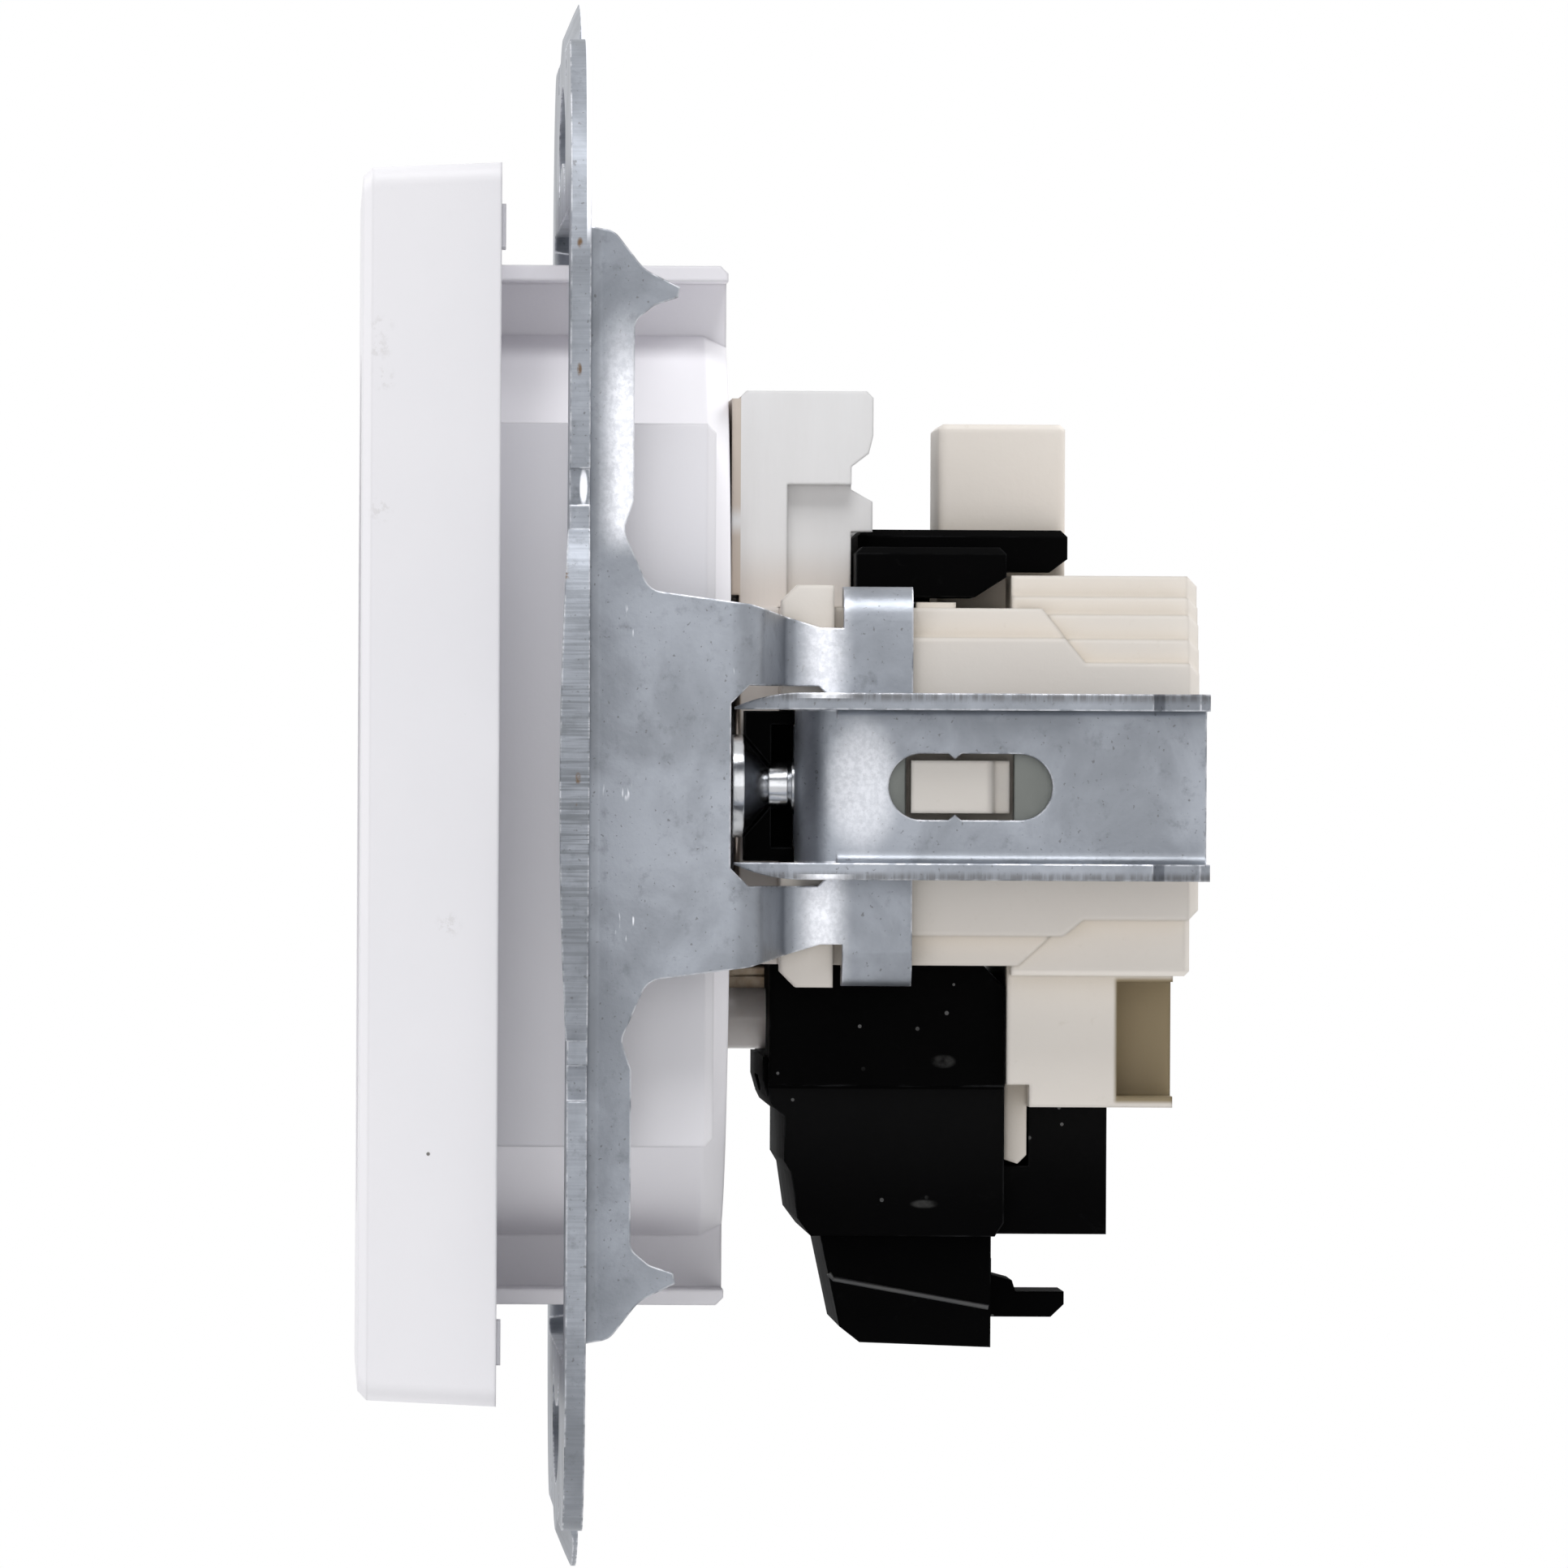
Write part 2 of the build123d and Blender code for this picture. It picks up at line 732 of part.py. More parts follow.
# The current-carrying strips
def pin_contact(x):
    gap = pin_radius + running
    rear = base_front + contact_length
    web = rear - strap_thickness / 2
    leaf = gap + strap_thickness / 2
    half = Polyline(
        (base_front + 0.4, leaf + 0.35),
        (base_front + 2.4, leaf),
        (web, leaf),
        (web, -leaf),
        (base_front + 2.4, -leaf),
        (base_front + 0.4, -leaf - 0.35),
    )
    leaves = slab_x(trace(half, strap_thickness), x - pin_radius, x + pin_radius)
    slit = block((x - 0.3, x + 0.3), (base_front - 1, rear - 4), (-leaf - 2, leaf + 2))
    return leaves - slit


def earth_strap():
    clip_top = pot_radius + clip_gap
    web = strap_web_y + strap_thickness / 2
    lane = clip_y + strap_thickness / 2
    clip_start = plate_face_y + clip_slot_start + clip_lead
    bump = dish_radius - clip_bump
    upper = FilletPolyline(
        (web, 0),
        (web, strap_leg),
        (lane, strap_leg),
        (lane, clip_top),
        (clip_start + clip_spring, clip_top),
        (clip_start + clip_tip, bump + strap_thickness / 2),
        (clip_start, clip_top),
        radius=strap_thickness * 0.9,
    )
    strip = slab_x(trace(upper, strap_thickness), -strap_width / 2, strap_width / 2)
    strip = top_and_bottom(strip)
    return strip - rod_y(0, 0, screw_radius + fit, strap_web_y - 1, strap_web_rear + 1)


# The spreader claws, their screws and the screw guides
def claw_pinch_cut():
    side = claw_height / 2
    end = claw_rail_start + claw_pinch_length
    radius = (claw_pinch_length ** 2 + claw_pinch ** 2) / 2 / claw_pinch
    corner = Pos(end - claw_pinch_length, side) * Rectangle(2 * claw_pinch_length, 4 * claw_pinch)
    return slab_x(corner - Pos(end, side - radius) * Circle(radius), claw_face - 2, claw_rail_top + 2)


def claw_channel():
    wall = claw_height / 2 - claw_sheet / 2
    web = claw_face - claw_sheet / 2
    path = FilletPolyline(
        (claw_rail_top + claw_tooth_rise, -wall),
        (web, -wall),
        (web, wall),
        (claw_rail_top + claw_tooth_rise, wall),
        radius=claw_bend + claw_sheet / 2,
    )
    channel = slab_y(trace(path, claw_sheet), claw_rail_start, claw_end + 0.15)
    rail = claw_rail_top
    tooth_start = claw_end - claw_tooth_length
    trim = outline(
        (rail - 0.6, claw_rail_start - 1),
        (rail - 0.6, claw_rail_start),
        (rail, claw_rail_start + 2.4),
        (rail, tooth_start - 0.5),
        (rail + 0.5, tooth_start),
        (rail + claw_tooth_rise, claw_end - 0.3),
        (rail + 0.7, claw_end + 0.5),
        (rail + 5, claw_end + 0.5),
        (rail + 5, claw_rail_start - 1),
    )
    channel -= slab_z(trim, -claw_height, claw_height)
    front = outline(
        (claw_face - 3, claw_rail_start - 1),
        (claw_face + 1.3, claw_rail_start - 1),
        (claw_face + 1.3, claw_web_start - 0.5),
        (claw_face - claw_sheet, claw_web_start + 0.2),
        (claw_face - 3, claw_web_start + 0.2),
    )
    channel -= slab_z(front, -claw_height, claw_height)
    web_half = claw_height / 2 - claw_sheet
    bend_end = claw_web_start + claw_sheet + claw_web_bend
    channel -= block((claw_face - 3, claw_face + 1.0), (claw_rail_start - 1, bend_end), (-web_half, web_half))
    return channel - top_and_bottom(claw_pinch_cut())


def claw_tab():
    web = claw_face - claw_sheet / 2
    lane = claw_web_start + claw_sheet / 2
    path = FilletPolyline(
        (claw_tab_reach, lane),
        (web, lane),
        (web, lane + 4),
        radius=claw_web_bend + claw_sheet / 2,
    )
    strip = trace(path, claw_sheet)
    bend_start = claw_face - claw_sheet - claw_web_bend
    tab = slab_z(strip, -claw_tab_width / 2, claw_tab_width / 2)
    half = claw_height / 2 - claw_sheet
    bend = block((bend_start, claw_face), (claw_web_start, lane + 4), (-half, half))
    tab += slab_z(strip, -half, half) & bend
    return tab - rod_y(claw_screw_x, 0, claw_thread_radius + 1.25 * loose, claw_web_start - 1, lane + 1)


def claw():
    body = claw_channel() + claw_tab()
    length = claw_slot_end - claw_slot_start
    middle = (claw_slot_end + claw_slot_start) / 2
    slot = Pos(middle, 0) * SlotOverall(length, claw_slot_width)
    body -= slab_x(slot, claw_face - 2, claw_face + 1)
    edge = claw_slot_width / 2
    dimple = outline((middle - 1.1, edge + 0.1), (middle - 0.3, edge + 0.1), (middle - 0.7, edge - 0.25))
    body += top_and_bottom(slab_x(dimple, claw_face - claw_sheet, claw_face))
    return body


def claw_screw():
    cone_start = claw_head_front + claw_head_height
    cone_end = cone_start + claw_cone
    profile = outline(
        (0, claw_head_front),
        (claw_head_radius, claw_head_front),
        (claw_head_radius, cone_start),
        (claw_neck_radius, cone_end),
        (claw_neck_radius, claw_web_start - 0.3),
        (claw_thread_radius, claw_web_start - 0.1),
        (claw_thread_radius, claw_screw_end),
        (0, claw_screw_end),
    )
    screw = Pos(claw_screw_x, 0, 0) * revolve(profile, Axis.Y)
    cross = Rectangle(2.6, 0.5) + Rectangle(0.5, 2.6)
    return screw - slab_y(Pos(claw_screw_x, 0) * cross, claw_head_front - 1, claw_head_front + 0.8)


def screw_guide():
    half = guide_width / 2
    front = claw_head_front + claw_head_height + running
    rear = front + claw_cone + running
    tray = block((guide_floor, guide_top), (front, base_front + 0.6), (-half, half))
    hollow_half = claw_tab_width / 2 + running
    tray -= block((guide_floor + guide_wall, guide_top + 1), (rear, base_front + 2),
                  (-hollow_half, hollow_half))
    seat = outline(
        (0, front - 1),
        (claw_head_radius + running, front - 1),
        (claw_head_radius + running, front),
        (claw_neck_radius + running, rear),
        (claw_neck_radius + running, rear + 2),
        (0, rear + 2),
    )
    return tray - Pos(claw_screw_x, 0, 0) * revolve(seat, Axis.Y)


# The release levers on their common pivot line
def pivot_barrel(inner, outer):
    return slab_x(Pos(lever_pivot_y, lever_pivot_z) * Circle(lever_pivot_radius), inner, outer)


def release_lever():
    profile = outline(
        (lever_start, lever_bottom),
        (lever_end - 1.4, lever_bottom),
        (lever_end, lever_bottom + 0.9),
        (lever_end, lever_top),
        (lever_start, lever_top),
    )
    body = slab_x(profile, lever_inner, lever_outer)
    body = chamfer(facing(body, Axis.Z, -1), lever_round)
    return body + pivot_barrel(lever_inner, lever_outer)


def earth_release_lever():
    inner = tower_half_width + loose
    outer = inner + earth_lever_arm
    start = cover_rear + 2 * loose
    profile = outline(
        (start, earth_lever_bottom),
        (earth_lever_end - 0.8, earth_lever_bottom),
        (earth_lever_end, earth_lever_bottom + 0.6),
        (earth_lever_end, earth_lever_top),
        (start, earth_lever_top),
    )
    body = slab_x(profile, -outer, outer)
    body -= block((-inner, inner), (tower_start - 3 * loose, earth_lever_end + 1),
                  (earth_lever_bottom - 1, earth_lever_top + 1))
    body = chamfer(facing(body, Axis.Z, -1), lever_round)
    leg = block((inner, outer), (lever_pivot_y - lever_pivot_radius, lever_pivot_y + lever_pivot_radius),
                (lever_pivot_z, earth_lever_bottom + 0.5))
    return body + both_sides(leg + pivot_barrel(inner, outer))


# The surge protection module below the base
def module_housing():
    top = -base_top
    profile = outline(
        (module_front, top),
        (module_rear - 1.0, top),
        (module_rear, top - 1.0),
        (module_rear, -module_bottom + 0.6),
        (module_rear - 0.4, -module_bottom),
        (module_front + 1.9, -module_bottom),
        (module_front + 1.3, -module_bottom + 0.8),
        (module_front + 1.0, -module_chin - 0.5),
        (module_front + module_face_step, -module_chin),
        (module_front + module_face_step, -module_lip - 0.8),
        (module_front + 0.2, -module_lip - 0.4),
        (module_front, -module_lip),
    )
    body = slab_x(profile, -module_half_width, module_half_width)
    waist = block((module_half_width - module_inset, module_half_width + 1),
                  (module_front - 1, module_rear + 1), (-module_bottom - 1, -module_step))
    body -= both_sides(waist)
    tail_start = foot_start + foot_thickness + fit
    tail = outline(
        (module_rear - 1.5, -block_bottom - foot_drop - fit),
        (tail_start, -block_bottom - foot_drop - fit),
        (tail_start, -block_bottom),
        (module_tail_rear, -block_bottom),
        (module_tail_rear, -module_bottom + 0.1),
        (module_rear - 1.5, -module_bottom + 0.1),
    )
    body += slab_x(tail, -module_tail_half_width, module_tail_half_width)
    strap_gap = strap_width / 2 + loose
    body -= block((-strap_gap, strap_gap), (module_front - 1, strap_web_rear + loose),
                  (-strap_leg - strap_thickness / 2 - loose, top + 1))
    return body - rod_y(light_pipe_x, light_pipe_z, light_pipe_radius + running,
                        module_front - 1, module_front + 1.0)


def module_lid():
    profile = outline(
        (module_front + 2.4, -module_bottom),
        (module_front + 3.3, -lid_bottom + 0.9),
        (module_front + 4.2, -lid_bottom + 0.2),
        (lid_rear, -lid_bottom),
        (lid_rear, -module_bottom),
    )
    body = slab_x(profile, -lid_half_width, lid_half_width)
    prong_top = -lid_bottom + 2.35
    prong = outline(
        (lid_rear - 0.5, prong_top + catch_height),
        (lid_rear + 0.25, prong_top + catch_height),
        (lid_rear + 0.25, prong_top + catch_height / 2),
        (lid_rear + 1.2, prong_top + catch_height / 3),
        (lid_rear + 1.35, prong_top),
        (prong_end, prong_top),
        (prong_end, prong_top - prong_drop / 2),
        (prong_end - 0.6, prong_top - prong_drop),
        (lid_rear - 0.5, prong_top - prong_drop),
    )
    return body + slab_x(prong, -prong_half_width, prong_half_width)


def module_board():
    profile = outline(
        (board_front, -board_top),
        (board_front, -board_bottom + 0.7),
        (module_front - running, -board_bottom),
        (module_front, -board_bottom),
        (module_front, -board_top),
    )
    board = slab_x(profile, -board_half_width, board_half_width)
    return board - block((-strap_width / 2, strap_width / 2), (board_front - 1, module_front + 1),
                         (-board_bottom - 1, -board_bottom + 0.8))


def light_pipe():
    rod = rod_y(light_pipe_x, light_pipe_z, light_pipe_radius, floor_y, module_front + 1.0)
    return chamfer(facing(rod, Axis.Y, 0), light_pipe_radius / 5)


def left_copy(shape):
    return mirror(shape, about=Plane.YZ)


pieces = {
    "centre_plate": centre_plate(),
    "centre_screw": centre_screw(),
    "screw_insert": screw_insert(),
    "support_ring": support_ring(),
    "base": base(),
    "contact_cover": contact_cover(),
    "line_contact": pin_contact(pin_x),
    "neutral_contact": pin_contact(-pin_x),
    "earth_strap": earth_strap(),
    "claw_right": claw(),
    "claw_left": left_copy(claw()),
    "claw_screw_right": claw_screw(),
    "claw_screw_left": left_copy(claw_screw()),
    "screw_guide_right": screw_guide(),
    "screw_guide_left": left_copy(screw_guide()),
    "release_lever_right": release_lever(),
    "release_lever_left": left_copy(release_lever()),
    "release_lever_earth": earth_release_lever(),
    "module_housing": module_housing(),
    "module_lid": module_lid(),
    "module_board": module_board(),
    "light_pipe": light_pipe(),
}

os.makedirs("parts", exist_ok=True)
for name, shape in pieces.items():
    export_step(shape, f"parts/{name}.step")
    print(name, round(shape.volume, 1), len(shape.solids()))
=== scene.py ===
import bpy
import bmesh
import json
from mathutils import Matrix, Vector


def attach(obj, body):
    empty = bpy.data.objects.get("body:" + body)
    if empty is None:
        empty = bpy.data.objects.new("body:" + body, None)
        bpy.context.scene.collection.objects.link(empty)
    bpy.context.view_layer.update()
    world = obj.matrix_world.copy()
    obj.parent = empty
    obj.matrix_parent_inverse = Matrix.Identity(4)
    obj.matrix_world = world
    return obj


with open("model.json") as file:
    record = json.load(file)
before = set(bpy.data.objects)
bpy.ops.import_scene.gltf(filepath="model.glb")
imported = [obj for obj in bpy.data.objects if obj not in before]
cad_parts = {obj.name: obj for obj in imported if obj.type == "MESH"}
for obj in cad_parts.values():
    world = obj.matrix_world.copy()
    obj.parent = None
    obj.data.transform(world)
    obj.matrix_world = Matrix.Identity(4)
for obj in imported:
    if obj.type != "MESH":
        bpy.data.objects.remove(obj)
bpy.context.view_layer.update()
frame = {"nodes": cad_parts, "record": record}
nodes = frame["nodes"]
mm = 0.001  # the lengths in every dictionary are in millimetres
print("frame loaded:", len(nodes), "nodes")

paintLook = {"bevelSamples": 6, "creaseSamples": 4, "creaseStart": 0.9, "creaseFull": 0.45}


class Wire:  # one output socket that can be used in sums
    def __init__(self, board, socket):
        self.board = board
        self.socket = socket

    def maths(self, operation, *values, clamp=False):
        settings = {"operation": operation, "use_clamp": clamp}
        return self.board.node("ShaderNodeMath", settings, dict(enumerate(values)))

    def __add__(self, other):
        return self.maths("ADD", self, other)

    def __radd__(self, other):
        return self.maths("ADD", other, self)

    def __sub__(self, other):
        return self.maths("SUBTRACT", self, other)

    def __rsub__(self, other):
        return self.maths("SUBTRACT", other, self)

    def __mul__(self, other):
        return self.maths("MULTIPLY", self, other)

    def __rmul__(self, other):
        return self.maths("MULTIPLY", other, self)

    def __abs__(self):
        return self.maths("ABSOLUTE", self)

    def __gt__(self, other):
        return self.maths("GREATER_THAN", self, other)

    def __lt__(self, other):
        return self.maths("LESS_THAN", self, other)

    def held(self):  # kept between 0 and 1
        return self.maths("ADD", self, 0.0, clamp=True)


class Board:  # a node tree and the one way that a node comes into it
    def __init__(self, tree):
        self.tree = tree

    def node(self, kind, settings=None, sockets=None, output=0):
        made = self.tree.nodes.new(kind)
        for key, value in (settings or {}).items():
            setattr(made, key, value)
        for key, value in (sockets or {}).items():
            self.feed(made.inputs[key], value)
        return Wire(self, made.outputs[output])

    def feed(self, socket, value):
        if isinstance(value, Wire):
            self.tree.links.new(value.socket, socket)
        else:
            socket.default_value = value


class Paint(Board):  # one material and the nodes that make its finish
    def __init__(self, name, fixed):
        self.material = bpy.data.materials.new(name)
        self.material.use_nodes = True
        super().__init__(self.material.node_tree)
        self.shader = self.tree.nodes["Principled BSDF"]
        for key, value in fixed.items():
            self.shader.inputs[key].default_value = value
        self.place = self.node("ShaderNodeTexCoord", output="Object")
        self.facing = self.node("ShaderNodeNewGeometry", output="Normal")

    def noise(self, scale, detail=4.0, rough=0.55, warp=0.0, stretch=None):  # the scale is for one metre
        place = self.stretched(stretch) if stretch else self.place
        sockets = {"Vector": place, "Scale": scale, "Detail": detail, "Roughness": rough,
                   "Distortion": warp}
        return self.node("ShaderNodeTexNoise", {}, sockets, "Fac")

    def stretched(self, factors):
        return self.node("ShaderNodeMapping", {}, {"Vector": self.place, "Scale": factors})

    def clouds(self, low, high, **grain):  # noise cut to soft patches between two levels
        return self.ramp(self.noise(**grain), low, high)

    def specks(self, scale, size, seed):  # small round dots, at most one in each cell
        sockets = {"Vector": self.place, "Location": (seed, seed / 2, -seed)}
        moved = self.node("ShaderNodeMapping", {}, sockets)
        cells = self.node("ShaderNodeTexVoronoi", {}, {"Vector": moved, "Scale": scale}, "Distance")
        return cells < size

    def ramp(self, value, low, high):
        settings = {"interpolation_type": "SMOOTHSTEP"}
        sockets = {"Value": value, "From Min": low, "From Max": high}
        return self.node("ShaderNodeMapRange", settings, sockets)

    def atLeast(self, least, mask):  # a mask that doesn't fall below one level
        return least + (1 - least) * mask

    def mix(self, mask, first, second):  # 6 and 7 are the colour sockets of a Mix node, and 2 its colour
        sockets = {0: mask, 6: self.full(first), 7: self.full(second)}
        return self.node("ShaderNodeMix", {"data_type": "RGBA"}, sockets, 2)

    def full(self, colour):
        return colour if isinstance(colour, Wire) else (*colour, 1)

    def axis(self, vector, index):
        return self.node("ShaderNodeSeparateXYZ", {}, {0: vector}, index)

    def axes(self):
        return [self.axis(self.place, index) for index in range(3)]

    def band(self, value, middle, reach):  # 1 at the middle value, falling to 0 at its reach on both sides
        return self.ramp(abs(value - middle * mm), reach * mm, 0.0)

    def near(self, point, radius, soft=0.4):  # 1 round one point
        centre = tuple(value * mm for value in point)
        settings = {"operation": "DISTANCE"}
        gap = self.node("ShaderNodeVectorMath", settings, {0: self.place, 1: centre}, "Value")
        return self.ramp(gap, radius * mm, radius * (1 - soft) * mm)

    def nearAny(self, points, radius, soft):
        total = self.near(points[0], radius, soft)
        for point in points[1:]:
            total = total + self.near(point, radius, soft)
        return total.held()

    def patch(self, middle, reach, soft=0.5):  # 1 inside an oval seen from the side, at any width
        away = 0.0
        for index in range(2):
            gap = (self.axis(self.place, index + 1) - middle[index] * mm) * (1 / (reach[index] * mm))
            away = gap * gap + away
        return self.ramp(away, 1.0, (1 - soft) ** 2)

    def softEdge(self, radius):
        return self.node("ShaderNodeBevel", {"samples": paintLook["bevelSamples"]}, {"Radius": radius * mm})

    def edgeMask(self, radius):  # 0 on flats, rising towards sharp edges
        sockets = {0: self.softEdge(radius), 1: self.facing}
        dot = self.node("ShaderNodeVectorMath", {"operation": "DOT_PRODUCT"}, sockets, "Value")
        return (1.0 - dot).held()

    def creases(self, reach):  # 1 in inner corners and grooves, 0 in the open
        settings = {"samples": paintLook["creaseSamples"]}
        opened = self.node("ShaderNodeAmbientOcclusion", settings, {"Distance": reach * mm}, "AO")
        return self.ramp(opened, paintLook["creaseStart"], paintLook["creaseFull"])

    def finish(self, colour, roughness, height, depth, edge):
        sockets = {"Height": height, "Distance": depth * mm, "Strength": 1.0, "Normal": self.softEdge(edge)}
        normal = self.node("ShaderNodeBump", {}, sockets)
        for key, value in {"Base Color": colour, "Roughness": roughness, "Normal": normal}.items():
            self.feed(self.shader.inputs[key], value)
        return self.material

    def coat(self, look, colour):  # the roughness, grain and soft edge that most finishes share
        roughness = look["gloss"] + look["glossRange"] * self.noise(**look["glossSpots"])
        return self.finish(colour, roughness, self.noise(**look["grain"]), look["depth"], look["edge"])


whiteLook = {"fixed": {"Specular IOR Level": 0.45},
             "face": (0.862, 0.852, 0.884), "cloud": (0.846, 0.838, 0.872), "pot": (0.878, 0.866, 0.903),
             "speck": (0.16, 0.15, 0.14), "smudge": (0.72, 0.705, 0.72),
             "clouds": {"scale": 90, "detail": 3, "low": 0.35, "high": 0.7},
             "scuffs": {"scale": 1500, "detail": 5, "rough": 0.7, "stretch": (1, 1, 0.45),
                        "low": 0.62, "high": 0.72},
             "scuffPlaces": {"scale": 130, "detail": 2, "low": 0.62, "high": 0.74}, "scuffShare": 0.5,
             "potStart": -4.4, "potSide": 27.0, "dishSide": 19.6,
             "gloss": 0.42, "glossRange": 0.1, "glossSpots": {"scale": 700},
             "grain": {"scale": 5200, "detail": 3}, "depth": 0.004, "edge": 0.22}
plateMarks = {"side": 27.4,
              "dots": [(-6.93, -16.33, 0.11), (-9.5, 13.75, 0.07), (-5.4, 3.1, 0.04), (-8.2, -9.6, 0.04)],
              "smudges": [(-9.2, 20.2), (-9.3, 19.2), (-9.1, 17.9), (-9.2, 12.1), (-6.1, -6.2)],
              "reach": 0.75, "soft": 0.9, "share": 0.8,
              "spots": {"scale": 2600, "rough": 0.7, "low": 0.5, "high": 0.62}}


def whitePlastic():
    paint = Paint("whitePlastic", whiteLook["fixed"])
    colour = paint.mix(paint.clouds(**whiteLook["clouds"]), whiteLook["face"], whiteLook["cloud"])
    # painted light: the pot behind the plate is painted lighter than the plate's faces
    colour = paint.mix(paintedPotLight(paint), colour, whiteLook["pot"])
    scuffs = paint.clouds(**whiteLook["scuffs"]) * paint.clouds(**whiteLook["scuffPlaces"])
    colour = paint.mix(scuffs * whiteLook["scuffShare"], colour, whiteLook["smudge"])
    side = plateMarks["side"]
    for y, z, radius in plateMarks["dots"]:
        colour = paint.mix(paint.near((side, y, z), radius), colour, whiteLook["speck"])
    places = [(side, y, z) for y, z in plateMarks["smudges"]]
    smudges = paint.nearAny(places, plateMarks["reach"], plateMarks["soft"])
    smudges = smudges * paint.clouds(**plateMarks["spots"]) * plateMarks["share"]
    colour = paint.mix(smudges, colour, whiteLook["smudge"])
    return paint.coat(whiteLook, colour)


def paintedPotLight(paint):  # painted light: the moulding behind the plate is painted a little lighter than the plate's faces
    x, y, z = paint.axes()
    outside = (x * x + z * z) > (whiteLook["dishSide"] * mm) ** 2
    return outside * (y > whiteLook["potStart"] * mm) * (abs(x) < whiteLook["potSide"] * mm)


zincLook = {"fixed": {"Metallic": 0.82},
            "light": (0.335, 0.357, 0.398), "mid": (0.238, 0.255, 0.284), "dark": (0.132, 0.143, 0.156),
            "speck": (0.12, 0.12, 0.125), "rust": (0.15, 0.095, 0.055), "worn": (0.80, 0.81, 0.86),
            "shade": (0.17, 0.18, 0.17), "paintedHighlight": (0.93, 0.94, 0.99),
            "clouds": {"scale": 210, "detail": 5, "rough": 0.6, "warp": 0.4, "low": 0.34, "high": 0.66},
            "spangle": {"scale": 950, "rough": 0.7}, "spangleRange": (0.54, 0.78), "spangleShare": 0.5,
            "specks": {"scale": 4800, "detail": 2, "rough": 0.5, "low": 0.66, "high": 0.74},
            "speckShare": 0.65, "wornEdge": 0.16, "wornRange": (0.01, 0.12),
            "wornSpots": {"scale": 1600, "detail": 3, "low": 0.35, "high": 0.6},
            "gloss": 0.34, "glossRange": 0.14, "glossSpots": {"scale": 640, "detail": 5},
            "cutRough": 0.12, "highlightShine": 0.1, "grain": {"scale": 5200, "detail": 3},
            "spangleHeight": 0.15, "grainHeight": 0.25, "ribHeight": 0.5, "railHeight": 0.4,
            "depth": 0.03, "edge": 0.14}
cutLook = {"lean": (0.75, 0.95), "behind": 0.05, "least": 0.25, "reach": 13.5, "share": 0.7,
           "ribs": {"scale": 2600, "detail": 3, "rough": 0.6, "stretch": (1, 0.08, 2.4)},
           "ribRange": (0.40, 0.62)}
railLook = {"facing": 0.5, "x": 20.8, "y": 6.9, "z": 4.0, "reach": 0.35, "least": 0.45, "share": 0.8,
            "lines": {"scale": 2200, "detail": 3, "rough": 0.6, "stretch": (1, 1.8, 0.12),
                      "low": 0.36, "high": 0.6}}
rustLook = {"places": [((-0.5, 23.8), (0.16, 0.3)), ((-0.5, 18.25), (0.14, 0.35)),
                       ((-0.5, 0.3), (0.16, 0.3))], "soft": 0.9,
            "inside": {"scale": 2400, "rough": 0.7, "low": 0.35, "high": 0.6},
            "spots": {"scale": 420, "detail": 5, "rough": 0.65, "low": 0.655, "high": 0.72}}
topEdgeHighlight = {"y": -0.2, "low": 23.6, "full": 24.8, "share": 0.85}
tickLook = {"places": [(25.4, 2.0, 7.3), (25.4, 1.4, -0.1), (25.4, 1.75, -6.2), (25.4, 6.2, 5.3)],
            "radius": 0.8, "soft": 0.5,
            "marks": {"scale": 1500, "detail": 2, "rough": 0.5, "stretch": (1, 3.2, 0.5),
                      "low": 0.6, "high": 0.68}}


